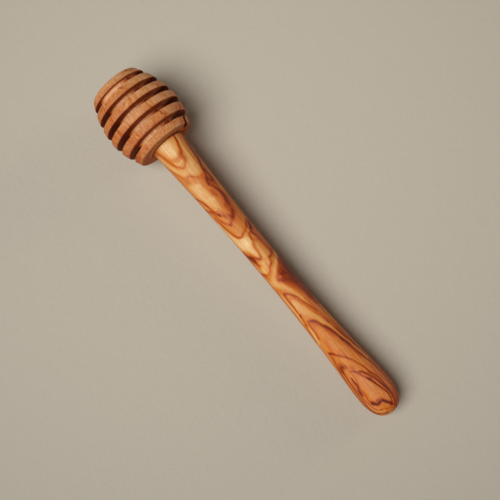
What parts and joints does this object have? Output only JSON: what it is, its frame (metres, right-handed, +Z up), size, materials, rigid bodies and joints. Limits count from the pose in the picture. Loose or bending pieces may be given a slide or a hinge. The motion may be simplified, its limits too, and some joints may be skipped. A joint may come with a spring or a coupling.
{
  "type": "honey dipper",
  "caption": "Wooden honey dipper: a barrel-shaped head with deep turned grooves, glued on the tenon of a slender handle that swells to a round butt.",
  "frame": {"origin": "centre of the dipper's box at the height of the table that it lies on", "axes": "+X runs along the handle's level direction from the head to the butt, +Z is up, and the dipper lies at rest on its widest ring and the swell of its handle"},
  "size_m": [0.1602, 0.0305, 0.0305],
  "materials": {
    "head_wood": "olive wood with fine straight grain, lightly oiled and nearly matt, dark inside the grooves",
    "handle_wood": "olive wood with bold cream, golden and dark brown figure, oiled to a soft gloss"
  },
  "bodies": {
    "root": {"dipper_head": "head_wood", "handle": "handle_wood"}
  },
  "joints": []
}
